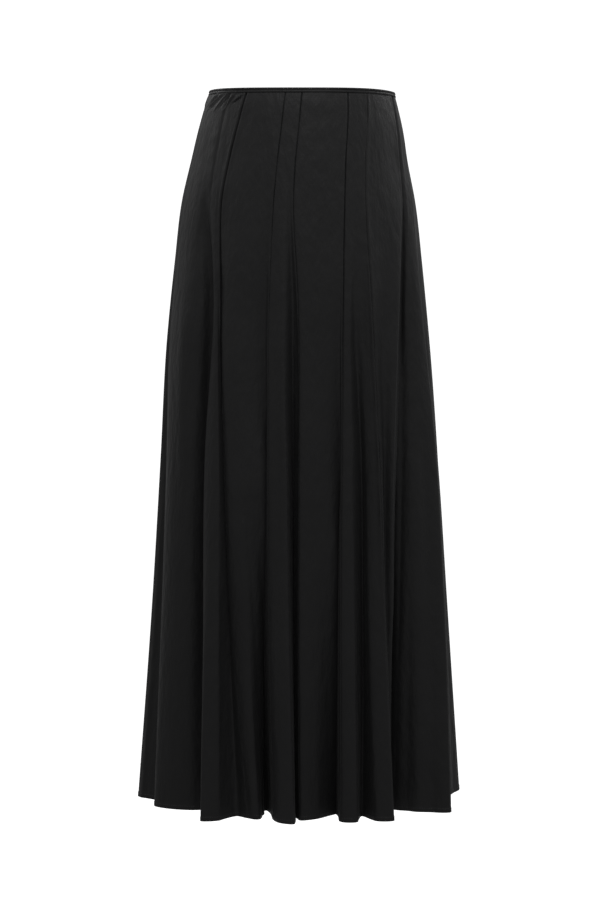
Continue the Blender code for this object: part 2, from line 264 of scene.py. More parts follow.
CREASES = (
    Crease(0.66, 4, 0.24, 19, 2.2, 1.5),
    Crease(0.7, 9, 0.02, 30, 1.5, -1.4),
    Crease(0.84, 4, 0.12, 33, 1.4, 1.7),
    Crease(0.9, 6, 0.34, 32, 1.3, -1.1),
    Crease(0.99, 4, 0.54, 34, 1.4, 1.6),
    Crease(1.08, 6, 0.74, 30, 1.3, -1.0),
    Crease(1.34, 4, 0.88, 33, 1.5, 1.6),
    Crease(1.52, 5, 1.02, 26, 1.2, -0.9),
    Crease(1.92, 7, 1.3, 20, 1.3, 1.6),
    Crease(1.88, 11, 1.24, 23, 1.1, -1.4),
    Crease(0.91, 110, 0.76, 520, 8.0, -4.2),
    Crease(0.44, 260, 0.4, 560, 8.0, 1.5),
    Crease(1.52, 560, 1.38, 1150, 3.5, 1.3),
    Crease(1.93, 480, 1.83, 1250, 13, 1.8),
    Crease(2.35, 440, 2.14, 1150, 3.5, 1.4),
    Crease(2.44, 520, 2.22, 1300, 9, 4.5),
    Crease(2.7, 380, 2.52, 1080, 20, 8.5),
    Crease(3.41, 330, 3.33, 1150, 3.0, 1.3),
    Crease(3.93, 200, 3.945, 1150, 4.5, -3.2),
    Crease(4.67, 450, 4.55, 1250, 18, 6.5),
    Crease(5.21, 540, 5.21, 1150, 3.5, 1.3),
    Crease(5.97, 200, 5.985, 760, 1.8, 1.9),
    Crease(6.92, 280, 6.1, 800, 3.5, 1.6),
    Crease(6.93, 230, 6.3, 860, 7, 3.0),
    Crease(7.04, 250, 7.0, 800, 6, -3.4),
    Crease(7.03, 480, 7.1, 1250, 10, 2.0),
    Crease(7.3, 400, 7.44, 1200, 9, 2.6),
    Crease(7.62, 400, 7.72, 1200, 9, -2.4),
    Crease(8.35, 300, 8.5, 1150, 9, 2.2),
    Crease(8.72, 260, 8.66, 1200, 10, -2.2),
    Crease(9.5, 420, 9.46, 1150, 3.5, 1.3),
    Crease(10.3, 360, 10.42, 1200, 10, 2.3),
    Crease(10.7, 480, 10.6, 1200, 9, -2.1),
    Crease(11.52, 520, 11.45, 1150, 3.5, 1.3),
    Crease(11.9, 5, 11.45, 28, 1.5, 1.2),
    Crease(12.1, 6, 11.7, 30, 1.3, -0.8),
    Crease(12.3, 4, 11.9, 26, 1.4, 1.1),
    Crease(12.28, 300, 12.36, 1180, 9, 2.2),
    Crease(12.66, 420, 12.72, 1200, 8, -2.0),
    Crease(13.4, 560, 13.48, 1150, 3.5, 1.2),
    Crease(14.35, 340, 14.24, 1180, 10, 2.4),
    Crease(14.7, 440, 14.78, 1200, 9, -2.2),
    Crease(15.5, 460, 15.42, 1150, 3.5, 1.3),
    Crease(15.6, 4, 15.25, 27, 1.5, 1.3),
    Crease(15.8, 7, 15.4, 30, 1.3, -0.9),
    Crease(15.95, 4, 15.6, 24, 1.4, 1.2),
)


def spline_slopes(knots: np.ndarray, values: np.ndarray) -> np.ndarray:
    """Slopes of a smooth curve at its knots.

    Args:
        knots: Places of the knots along the last axis.
        values: Values at the knots along the last axis.

    Returns:
        The slope at each knot.
    """
    step = np.diff(knots, axis=-1)
    chord = np.diff(values, axis=-1) / step
    before, after = step[..., :-1], step[..., 1:]
    inner = (chord[..., :-1] * after + chord[..., 1:] * before) / (before + after)
    return np.concatenate([chord[..., :1], inner, chord[..., -1:]], axis=-1)


def hermite(
    share: np.ndarray,
    width: np.ndarray,
    start: np.ndarray,
    end: np.ndarray,
    start_slope: np.ndarray,
    end_slope: np.ndarray,
) -> np.ndarray:
    """Value at a share of a span whose ends and end slopes are given.

    Args:
        share: Share of the way along the span.
        width: Distance between the span's knots.
        start: Value at the span's start.
        end: Value at the span's end.
        start_slope: Slope at the span's start.
        end_slope: Slope at the span's end.

    Returns:
        The value there.
    """
    square = share * share
    cube = square * share
    return (
        (2 * cube - 3 * square + 1) * start
        + (cube - 2 * square + share) * width * start_slope
        + (3 * square - 2 * cube) * end
        + (cube - square) * width * end_slope
    )


def read_columns(knots: tuple[float, ...], values: np.ndarray, at: np.ndarray) -> np.ndarray:
    """Smooth readings of a table's columns.

    Args:
        knots: The table's places.
        values: One row of values for each column that is read.
        at: Places to read, a list.

    Returns:
        One row for each place and one column for each row of values.
    """
    knots = np.asarray(knots, float)
    slopes = spline_slopes(knots, values)
    at = np.clip(at, knots[0], knots[-1])
    span = np.clip(np.searchsorted(knots, at, side="right") - 1, 0, len(knots) - 2)
    width = knots[span + 1] - knots[span]
    share = (at - knots[span]) / width
    read = hermite(share, width, values[:, span], values[:, span + 1], slopes[:, span], slopes[:, span + 1])
    return read.T


def smooth_step(share: np.ndarray) -> np.ndarray:
    """Soft ramp from 0 to 1 over shares from 0 to 1."""
    share = np.clip(share, 0, 1)
    return share * share * (3 - 2 * share)


@dataclass(frozen=True)
class SkirtForm:
    """The worn shape of the skirt, as closed waves at every depth.

    Its top edge dips at the front, and a little further at the right.
    """

    length: float = 0.930
    front_dip: float = 0.0042
    right_dip: float = 0.003
    spline_power: float = 0.5
    cell: float = 0.0024
    beside_seam: tuple[float, ...] = (0.0008, 0.0017, 0.0028)
    closest: float = 0.0005

    def sizes(self, depths: np.ndarray) -> np.ndarray:
        """Half width, half depth and shift of the skirt.

        Args:
            depths: Depths below the waist.

        Returns:
            One row of the three sizes for each depth.
        """
        table = np.array(SECTIONS, float)
        return read_columns(tuple(table[:, 0]), table[:, 1:].T, depths / MM) * MM

    def guide_points(self, depths: np.ndarray) -> np.ndarray:
        """Plan points, across and forward, of every guide line.

        Args:
            depths: Depths below the waist.

        Returns:
            Points by depth and by line.
        """
        angles = np.array([line[1:7] for line in GUIDE_LINES], float)
        angles = np.radians(read_columns(STATIONS, angles, depths / MM))
        half_width, half_depth, shift = (column[:, None] for column in self.sizes(depths).T)
        reaches = np.array([(1, 1, *line[7:]) for line in GUIDE_LINES], float)
        reach = read_columns(REACH_STATIONS, reaches, depths / MM)
        across = shift + half_width * reach * np.sin(angles)
        forward = half_depth * reach * np.cos(angles)
        return np.stack([across, forward], axis=-1)

    def ring(self, depths: np.ndarray, spans: np.ndarray, shares: np.ndarray) -> np.ndarray:
        """Points on the cloth's middle.

        Args:
            depths: Depths below the waist.
            spans: Number of the span between guide lines, for each column.
            shares: Share of the way along that span, for each column.

        Returns:
            Points by depth and by column.
        """
        points = self.guide_points(depths)
        count = points.shape[1]
        around = np.concatenate([points[:, -2:], points, points[:, :3]], axis=1)
        chords = np.linalg.norm(np.diff(around, axis=1), axis=2)
        knots = np.cumsum(chords**self.spline_power, axis=1)
        knots = np.concatenate([np.zeros((len(depths), 1)), knots], axis=1)
        slopes = spline_slopes(knots[:, None, :], around.transpose(0, 2, 1)).transpose(0, 2, 1)
        points, slopes = around[:, 2 : count + 3], slopes[:, 2 : count + 3]
        widths = np.diff(knots, axis=1)[:, 2 : count + 2]
        plan = hermite(
            shares[None, :, None],
            widths[:, spans, None],
            points[:, spans],
            points[:, spans + 1],
            slopes[:, spans],
            slopes[:, spans + 1],
        )
        across, forward = plan[..., 0], plan[..., 1]
        half_width, half_depth = self.sizes(depths)[:, :1], self.sizes(depths)[:, 1:2]
        facing = np.maximum(forward / half_depth, 0)
        aside = np.maximum(across / half_width, 0)
        dip = (self.front_dip * facing**2 + self.right_dip * aside**4) * (1 - depths / self.length)[:, None]
        return np.stack([across, -forward, -depths[:, None] - dip], axis=-1)

    def columns(self) -> tuple[np.ndarray, np.ndarray]:
        """Spans and shares of the columns, closer together beside the seams.

        Returns:
            The columns' spans and their shares of them.
        """
        points = self.guide_points(np.array([self.length]))[0]
        chords = np.linalg.norm(np.roll(points, -1, axis=0) - points, axis=1)
        beside = np.array(self.beside_seam)
        spans, shares = [], []
        for span, chord in enumerate(chords):
            steps = max(1, round(chord / self.cell))
            places = list(np.arange(steps) * chord / steps)
            if GUIDE_LINES[span].kind is SEAM:
                places += list(beside)
            if GUIDE_LINES[(span + 1) % len(GUIDE_LINES)].kind is SEAM:
                places += list(chord - beside)
            kept = [0.0]
            for place in sorted(places):
                if place - kept[-1] >= self.closest and chord - place >= self.closest:
                    kept.append(place)
            spans += [span] * len(kept)
            shares += [place / chord for place in kept]
        return np.array(spans), np.array(shares)


@dataclass
class ClothSurface:
    """The cloth all round, with its seams and creases, as grids of points.

    Lengths are in metres, but for the seams' waves and fade, which are in millimetres.
    """

    form: SkirtForm
    thickness: float = 0.0009
    allowance: float = 0.009
    allowance_ply: float = 0.0006
    hem_turn: float = 0.006
    hem_ply: float = 0.0004
    under_binding: float = 0.0045
    free_from: float = 0.0085
    groove_waves: tuple[float, float] = (7.3, 17.1)
    groove_turns: tuple[float, float] = (1.9, 2.7)
    ridge_wave: float = 11.7
    ridge_sway: float = 0.3
    ridge_offset: float = 2.2
    ridge_spread: float = 1.1
    seam_fade: float = 120.0
    crease_rise: float = 5.0
    crease_fall: float = 2.5
    depths: np.ndarray = field(init=False)
    seam_columns: np.ndarray = field(init=False)
    outer: np.ndarray = field(init=False)
    inner: np.ndarray = field(init=False)
    arc: np.ndarray = field(init=False)
    seam_arc: np.ndarray = field(init=False)
    total: np.ndarray = field(init=False)

    def __post_init__(self) -> None:
        """Work out the grids."""
        self.depths = self.row_depths()
        spans, shares = self.form.columns()
        self.seam_columns = np.array(
            [column for column, span in enumerate(spans) if shares[column] == 0 and GUIDE_LINES[span].kind is SEAM]
        )
        middle = self.form.ring(self.depths, spans, shares)
        steps = np.linalg.norm(np.roll(middle, -1, axis=1) - middle, axis=2)
        self.total = steps.sum(axis=1, keepdims=True)
        self.arc = np.cumsum(steps, axis=1) - steps
        self.seam_arc = np.concatenate([self.arc[:, self.seam_columns], self.total], axis=1)
        outward = self.outward(middle)
        middle = middle + outward * self.relief()[..., None]
        outward = self.outward(middle)
        turned = self.hem_ply * smooth_step((self.depths - self.form.length + self.hem_turn) / MM)[:, None]
        near = np.min([self.from_seam(seam) for seam in range(len(self.seam_columns))], axis=0)
        pressed = self.allowance_ply * (1 - smooth_step((near - self.allowance) / MM))
        pressed = pressed * smooth_step((self.depths - self.free_from) / (4 * MM))[:, None]
        self.outer = middle + outward * (self.thickness / 2 + turned)[..., None]
        self.inner = middle - outward * (self.thickness / 2 + np.maximum(turned, pressed))[..., None]

    def row_depths(self) -> np.ndarray:
        """Depths of the rows, from the zones' steps."""
        depths = [ROW_ZONES[0].start]
        for zone in ROW_ZONES:
            steps = max(1, round((zone.end - zone.start) / zone.step))
            depths += [zone.start + (zone.end - zone.start) * (step + 1) / steps for step in range(steps)]
        return np.array(depths) * MM

    def outward(self, grid: np.ndarray) -> np.ndarray:
        """Outward directions on a grid that closes round the skirt.

        Args:
            grid: Points by row and by column.

        Returns:
            Unit directions on the same grid.
        """
        along = np.roll(grid, -1, axis=1) - np.roll(grid, 1, axis=1)
        down = np.gradient(grid, self.depths, axis=0)
        normal = np.cross(down, along)
        return normal / np.linalg.norm(normal, axis=2, keepdims=True)

    def from_seam(self, seam: int) -> np.ndarray:
        """Distance of every point from a seam, measured round the cloth."""
        return np.abs(self.apart(self.seam_arc[:, seam : seam + 1]))

    def apart(self, centre: np.ndarray) -> np.ndarray:
        """Signed distance round the cloth of every point from a place in its row."""
        return (self.arc - centre + self.total / 2) % self.total - self.total / 2

    def place(self, gore: np.ndarray) -> np.ndarray:
        """Distance round the cloth of places counted in gores, one for each row.

        Args:
            gore: Place of each row, in gores from the first gore's left seam.

        Returns:
            A column of distances.
        """
        count = len(self.seam_columns)
        gore = gore % count
        first = np.minimum(np.floor(gore).astype(int), count - 1)
        rows = np.arange(len(self.depths))
        start, end = self.seam_arc[rows, first], self.seam_arc[rows, first + 1]
        return (start + (end - start) * (gore - first))[:, None]

    def relief(self) -> np.ndarray:
        """Height of the seams, creases and puckers over the plain wave, in metres."""
        depths = self.depths / MM
        height = np.zeros_like(self.arc)
        for seam, look in enumerate(SEAM_LOOKS):
            away = self.from_seam(seam) / MM
            waves = [np.sin(depths / wave + turn * seam) for wave, turn in zip(self.groove_waves, self.groove_turns)]
            waver = waves[0] * 0.5 + waves[1] * 0.5
            left = 1 - (1 - look.kept) * smooth_step((depths - look.soft_from) / self.seam_fade)
            depth = look.groove * left * (1 - look.uneven * (0.5 + 0.5 * waver))
            height -= depth[:, None] * np.exp(-((away / look.width) ** 2))
            offset, spread = self.ridge_offset * look.width, self.ridge_spread * look.width
            beside = np.exp(-(((away - offset) / spread) ** 2))
            sway = 1 - self.ridge_sway + self.ridge_sway * np.sin(depths / self.ridge_wave + seam)
            height += (look.ridge * left * sway)[:, None] * beside
        for crease in CREASES:
            share = (depths - crease.start_depth) / (crease.end_depth - crease.start_depth)
            strength = smooth_step(share * self.crease_rise) * smooth_step((1 - share) * self.crease_fall)
            line = crease.start_gore + (crease.end_gore - crease.start_gore) * np.clip(share, 0, 1)
            away = self.apart(self.place(line)) / MM
            height += crease.height * strength[:, None] * np.exp(-((away / crease.width) ** 2))
        freed = smooth_step((self.depths - self.under_binding) / (self.free_from - self.under_binding))
        return height * freed[:, None] * MM


def grid_faces(rows: int, columns: int, start: int, turned: bool) -> np.ndarray:
    """Four-cornered faces of a grid of points.

    Args:
        rows: Number of rows.
        columns: Number of columns.
        start: Index of the grid's first point.
        turned: Whether the faces look the other way.

    Returns:
        One row of four point indices for each face.
    """
    corner = start + np.arange(rows - 1)[:, None] * columns + np.arange(columns - 1)[None, :]
    faces = np.stack([corner, corner + columns, corner + columns + 1, corner + 1], axis=-1).reshape(-1, 4)
    return faces[:, ::-1] if turned else faces


def strip_faces(edge: np.ndarray, back: int, turned: bool) -> np.ndarray:
    """Faces that close the rim between two layers.

    Args:
        edge: Indices of the front layer's points along the rim.
        back: Difference between a front point's index and its back point's.
        turned: Whether the faces look the other way.

    Returns:
        One row of four point indices for each face.
    """
    faces = np.stack([edge[:-1], edge[1:], edge[1:] + back, edge[:-1] + back], axis=-1)
    return faces[:, ::-1] if turned else faces


def quad_mesh(name: str, points: np.ndarray, faces: np.ndarray, uv: np.ndarray | None = None) -> bpy.types.Mesh:
    """Mesh of four-cornered faces.

    Args:
        name: Name of the mesh.
        points: Corner points.
        faces: Four point indices for each face.
        uv: Place of each point on the flat cloth, if it has one.

    Returns:
        The mesh, shaded smooth but for its sharp rims.
    """
    mesh = bpy.data.meshes.new(name)
    mesh.vertices.add(len(points))
    mesh.vertices.foreach_set("co", points.astype(np.float32).ravel())
    mesh.loops.add(faces.size)
    mesh.loops.foreach_set("vertex_index", faces.astype(np.int32).ravel())
    mesh.polygons.add(len(faces))
    mesh.polygons.foreach_set("loop_start", np.arange(len(faces), dtype=np.int32) * 4)
    mesh.update(calc_edges=True)
    if uv is not None:
        layer = mesh.uv_layers.new(name="cloth")
        layer.data.foreach_set("uv", uv[faces.ravel()].astype(np.float32).ravel())
    mesh.validate()
    mesh.shade_smooth()
    mesh.set_sharp_from_angle(angle=math.radians(SHARP_ANGLE))
    return mesh


def shown(name: str, mesh: bpy.types.Mesh, material: bpy.types.Material) -> bpy.types.Object:
    """Put a mesh in the scene as a dressed piece that rides with the skirt.

    Args:
        name: Name of the piece.
        mesh: Its mesh.
        material: Its finish.

    Returns:
        The piece.
    """
    mesh.materials.append(material)
    piece = bpy.data.objects.new(name, mesh)
    bpy.context.scene.collection.objects.link(piece)
    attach(piece, BODY)
    return piece


class NodeBoard:
    """A material's node tree, with short ways to add nodes and links."""

    def __init__(self, name: str) -> None:
        """Start a material with a Principled shader alone."""
        self.material = bpy.data.materials.new(name)
        self.material.use_nodes = True
        self.tree = self.material.node_tree
        self.shader = self.tree.nodes["Principled BSDF"]

    def add(self, kind: str, **settings: object) -> bpy.types.Node:
        """Add a node.

        Args:
            kind: Blender's name of the node type.
            **settings: Properties of the node, or values of its inputs.

        Returns:
            The node.
        """
        node = self.tree.nodes.new(kind)
        for key, value in settings.items():
            if key in node.inputs:
                node.inputs[key].default_value = value
            else:
                setattr(node, key, value)
        return node

    def link(self, source: bpy.types.NodeSocket, target: bpy.types.NodeSocket) -> None:
        """Join an output to an input."""
        self.tree.links.new(source, target)

    def noise(self, place: bpy.types.NodeSocket, scale: float, detail: float = PLAIN_DETAIL) -> bpy.types.NodeSocket:
        """Soft noise over the cloth.

        Args:
            place: Where the noise is read.
            scale: Number of its cells in a metre.
            detail: How much fine detail it has.

        Returns:
            Its height.
        """
        node = self.add("ShaderNodeTexNoise", Scale=scale, Detail=detail)
        self.link(place, node.inputs["Vector"])
        return node.outputs["Fac"]

    def bump(
        self, height: bpy.types.NodeSocket, distance: float, strength: float, under: bpy.types.Node | None
    ) -> bpy.types.Node:
        """Add a bump, over another if there is one.

        Args:
            height: Height of the bump.
            distance: Its size in metres.
            strength: Its strength.
            under: The bump beneath it.

        Returns:
            The bump node.
        """
        node = self.add("ShaderNodeBump", Distance=distance, Strength=strength)
        self.link(height, node.inputs["Height"])
        if under is not None:
            self.link(under.outputs["Normal"], node.inputs["Normal"])
        return node


@dataclass(frozen=True)
class CrepeFinish:
    """Black crepe: fine crossed yarns, a grainy face, upright streaks and a soft sheen.

    Yarns, grain, clouding, mottle and swell are counts in a metre, and their heights are in metres.
    """

    name: str = "black_crepe"
    dark: tuple[float, float, float] = (0.0105, 0.0105, 0.0108)
    pale: tuple[float, float, float] = (0.0140, 0.0140, 0.0143)
    roughness: tuple[float, float] = (0.46, 0.56)
    sheen: float = 0.02
    sheen_roughness: float = 0.40
    specular: float = 0.15
    yarns: float = 2300.0
    bands_per_scale: float = 20.0
    grain: float = 1500.0
    clouding: float = 22.0
    gloss_clouding: float = 4.0
    yarn_height: float = 0.00006
    yarn_strength: float = 0.35
    yarn_twist: float = 0.6
    grain_height: float = 0.00012
    grain_strength: float = 0.30
    mottle: float = 120.0
    mottle_height: float = 0.0032
    mottle_strength: float = 0.5
    mottle_stretch: float = 0.36
    swell: float = 14.0
    swell_height: float = 0.0015
    swell_strength: float = 0.25

    def material(self) -> bpy.types.Material:
        """The crepe's material."""
        board = NodeBoard(self.name)
        flat = board.add("ShaderNodeUVMap", uv_map="cloth").outputs["UV"]
        around = board.add("ShaderNodeTexCoord").outputs["Object"]
        clouds = board.noise(around, self.clouding, FINE_DETAIL)
        tone = board.add("ShaderNodeMix", data_type="RGBA")
        colours = [socket for socket in tone.inputs if socket.type == "RGBA"]
        for socket, colour in zip(colours, (self.dark, self.pale)):
            socket.default_value = (*colour, 1.0)
        board.link(clouds, tone.inputs["Factor"])
        mixed = next(socket for socket in tone.outputs if socket.type == "RGBA")
        board.link(mixed, board.shader.inputs["Base Color"])
        spread = board.add("ShaderNodeMapRange")
        spread.inputs["To Min"].default_value, spread.inputs["To Max"].default_value = self.roughness
        board.link(board.noise(around, self.clouding * self.gloss_clouding), spread.inputs["Value"])
        board.link(spread.outputs["Result"], board.shader.inputs["Roughness"])
        heights = []
        for direction in ("X", "Y"):
            wave = board.add("ShaderNodeTexWave", bands_direction=direction)
            wave.inputs["Scale"].default_value = self.yarns / self.bands_per_scale
            wave.inputs["Distortion"].default_value = self.yarn_twist
            board.link(flat, wave.inputs["Vector"])
            heights.append(wave.outputs["Fac"])
        crossed = board.add("ShaderNodeMath", operation="MULTIPLY")
        for height, socket in zip(heights, crossed.inputs):
            board.link(height, socket)
        bump = board.bump(crossed.outputs[0], self.yarn_height, self.yarn_strength, None)
        bump = board.bump(board.noise(around, self.grain), self.grain_height, self.grain_strength, bump)
        drawn_out = board.add("ShaderNodeMapping", Scale=(1.0, 1.0, self.mottle_stretch))
        board.link(around, drawn_out.inputs["Vector"])
        streaks = board.noise(drawn_out.outputs["Vector"], self.mottle, FINE_DETAIL)
        bump = board.bump(streaks, self.mottle_height, self.mottle_strength, bump)
        bump = board.bump(board.noise(around, self.swell), self.swell_height, self.swell_strength, bump)
        board.link(bump.outputs["Normal"], board.shader.inputs["Normal"])
        board.shader.inputs["Specular IOR Level"].default_value = self.specular
        board.shader.inputs["Sheen Weight"].default_value = self.sheen
        board.shader.inputs["Sheen Roughness"].default_value = self.sheen_roughness
        return board.material


@dataclass(frozen=True)
class ThreadFinish:
    """Black sewing thread: a twisted yarn with a faint gloss."""

    name: str = "black_thread"
    colour: tuple[float, float, float] = (0.011, 0.011, 0.012)
    roughness: float = 0.42
    twist: float = 260.0
    twist_waver: float = 0.3
    ply_height: float = 0.00005
    ply_strength: float = 0.4

    def material(self) -> bpy.types.Material:
        """The thread's material."""
        board = NodeBoard(self.name)
        around = board.add("ShaderNodeTexCoord").outputs["Object"]
        wave = board.add("ShaderNodeTexWave", bands_direction="DIAGONAL", Scale=self.twist)
        wave.inputs["Distortion"].default_value = self.twist_waver
        board.link(around, wave.inputs["Vector"])
        bump = board.bump(wave.outputs["Fac"], self.ply_height, self.ply_strength, None)
        board.link(bump.outputs["Normal"], board.shader.inputs["Normal"])
        board.shader.inputs["Base Color"].default_value = (*self.colour, 1.0)
        board.shader.inputs["Roughness"].default_value = self.roughness
        return board.material


@dataclass
class Gore:
    """One cut panel of the skirt, from seam to seam."""

    name: str
    index: int

    def columns(self, surface: ClothSurface) -> np.ndarray:
        """Columns of the surface that this gore takes, both seams included."""
        total = surface.outer.shape[1]
        seams = [*surface.seam_columns, total]
        return np.arange(seams[self.index], seams[self.index + 1] + 1) % total

    def widths(self, surface: ClothSurface) -> np.ndarray:
        """Width of the cut at every row."""
        return surface.seam_arc[:, self.index + 1] - surface.seam_arc[:, self.index]

    def build(self, surface: ClothSurface) -> bpy.types.Mesh:
        """Make the gore's shell.

        Args:
            surface: The cloth all round.

        Returns:
            The gore's mesh, with its flat cut as its map.
        """
        columns = self.columns(surface)
        outer, inner = surface.outer[:, columns], surface.inner[:, columns]
        rows, count = outer.shape[:2]
        back = rows * count
        faces = [grid_faces(rows, count, 0, False), grid_faces(rows, count, back, True)]
        index = np.arange(back).reshape(rows, count)
        faces.append(strip_faces(index[0], back, False))
        faces.append(strip_faces(index[-1], back, True))
        faces.append(strip_faces(index[:, 0], back, True))
        faces.append(strip_faces(index[:, -1], back, False))
        arc = surface.arc[:, columns]
        arc[:, -1] = surface.seam_arc[:, self.index + 1]
        arc = arc - surface.seam_arc[:, self.index : self.index + 1] - self.widths(surface)[:, None] / 2
        flat = np.stack([arc, np.broadcast_to(-surface.depths[:, None], arc.shape)], axis=-1).reshape(-1, 2)
        points = np.concatenate([outer.reshape(-1, 3), inner.reshape(-1, 3)])
        return quad_mesh(self.name, points, np.concatenate(faces), np.concatenate([flat, flat]))

    def dress(self, surface: ClothSurface, material: bpy.types.Material) -> bpy.types.Object:
        """Build the gore, finish it and hide its solid.

        Args:
            surface: The cloth all round.
            material: The crepe.

        Returns:
            The piece.
        """
        piece = shown(self.name + "_cloth", self.build(surface), material)
        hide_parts(self.name)
        return piece


class Bunch(NamedTuple):
    """A stretch of the binding that is gathered: its place in gores, and sizes in millimetres."""

    gore: float
    spread: float
    height: float


BUNCHES = (
    Bunch(0.3, 14, 0.40),
    Bunch(0.85, 7, 0.45),
    Bunch(1.35, 9, 0.50),
    Bunch(2.8, 10, 0.20),
    Bunch(3.35, 3.5, 0.35),
    Bunch(4.5, 4.0, 0.30),
    Bunch(5.4, 3.5, 0.35),
    Bunch(6.2, 12, 0.22),
    Bunch(7.3, 4.0, 0.30),
    Bunch(8.4, 14, 0.28),
    Bunch(10.6, 6, 0.30),
    Bunch(11.3, 16, 0.25),
    Bunch(13.1, 5, 0.30),
    Bunch(14.2, 14, 0.30),
    Bunch(15.5, 8, 0.30),
)


@dataclass
class WaistBinding:
    """Narrow folded band over the cloth's top edge."""

    height: float = 0.006
    bulge: float = 0.0021
    lip: float = 0.0013
    ditch: float = 0.0011
    ditch_place: float = 0.42
    ditch_spread: float = 0.11
    profile_steps: int = 14
    profile_crowding: float = 1.15
    crown_start: float = 0.22
    crown_power: float = 0.9
    top_share: float = 0.7
    channel_share: float = 0.75
    ripples: tuple[float, float] = (1.9, 3.1)
    ripple_share: float = 0.6
    ripple_turn: float = 1.0
    waver_waves: tuple[float, float] = (0.031, 0.0117)
    waver_turn: float = 2.0
    waver: float = 0.0004
    gather_drop: float = 0.5

    def profile(self) -> list[tuple[float, float]]:
        """Depth and offset of the band's cross-section, from its outer lip over the top to its inner lip."""
        outer = []
        for step in range(self.profile_steps + 1):
            turn = step / self.profile_steps
            depth = self.height * (1 - turn) ** self.profile_crowding
            rise = min(1.0, self.crown_start + (1 - self.crown_start) * (1 - turn))
            crown = math.sin(math.pi * rise**self.crown_power)
            sunk = self.ditch * math.exp(-(((turn - self.ditch_place) / self.ditch_spread) ** 2))
            outer.append((depth, self.lip + (self.bulge - self.lip) * max(crown, 0.0) - sunk))
        outer[-1] = (0.0, self.lip * self.top_share)
        inner = [(depth, -offset) for depth, offset in reversed(outer)]
        aside = self.lip * self.channel_share
        channel = [(self.lip, -aside), (self.lip, aside)]
        return outer + inner + channel

    def dress(self, surface: ClothSurface, material: bpy.types.Material) -> bpy.types.Object:
        """Build the binding, finish it and hide its solid.

        Args:
            surface: The cloth all round.
            material: The crepe.

        Returns:
            The piece.
        """
        form = surface.form
        spans, shares = form.columns()
        profile = self.profile()
        top = form.ring(np.array([0.0]), spans, shares)[0]
        steps = np.linalg.norm(np.roll(top, -1, axis=0) - top, axis=1)
        arc, total = np.cumsum(steps) - steps, steps.sum()
        gathered = np.zeros_like(arc)
        seams = np.concatenate([arc[surface.seam_columns], [total]])
        for bunch in BUNCHES:
            first = int(bunch.gore)
            centre = seams[first] + (seams[first + 1] - seams[first]) * (bunch.gore - first)
            away = ((arc - centre + total / 2) % total - total / 2) / MM
            ripple = np.sin(away * self.ripples[0])
            ripple = ripple + self.ripple_share * np.sin(away * self.ripples[1] + self.ripple_turn)
            gathered += bunch.height * MM * ripple * np.exp(-((away / bunch.spread) ** 2))
        long_wave, short_wave = self.waver_waves
        gathered += self.waver * (np.sin(arc / long_wave) + np.sin(arc / short_wave + self.waver_turn)) / 2
        rings = []
        for depth, offset in profile:
            ring = form.ring(np.array([depth]), spans, shares)[0]
            along = np.roll(ring, -1, axis=0) - np.roll(ring, 1, axis=0)
            outward = np.stack([along[:, 1], -along[:, 0], np.zeros(len(ring))], axis=1)
            outward /= np.linalg.norm(outward, axis=1, keepdims=True)
            swell = gathered * (abs(offset) / self.bulge) ** 2 * math.copysign(1.0, offset)
            ring = ring + outward * (offset + swell)[:, None]
            ring[:, 2] -= self.gather_drop * gathered * (depth / self.height)
            rings.append(ring)
        count, corners = len(spans), len(profile)
        this = np.arange(corners)[:, None] * count + np.arange(count)[None, :]
        following = np.roll(this, -1, axis=0)
        ahead, both = np.roll(this, -1, axis=1), np.roll(following, -1, axis=1)
        faces = np.stack([this, ahead, both, following], axis=-1).reshape(-1, 4)
        around = np.broadcast_to(arc[None, :], (corners, count))
        down = np.broadcast_to(np.array([p[0] for p in profile])[:, None], (corners, count))
        flat = np.stack([around, down], axis=-1).reshape(-1, 2)
        mesh = quad_mesh("waist_binding", np.concatenate(rings), faces, flat)
        piece = shown("waist_binding_cloth", mesh, material)
        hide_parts("waist_binding")
        flat = (float(total), 2 * self.height + 2 * self.lip)
        return piece


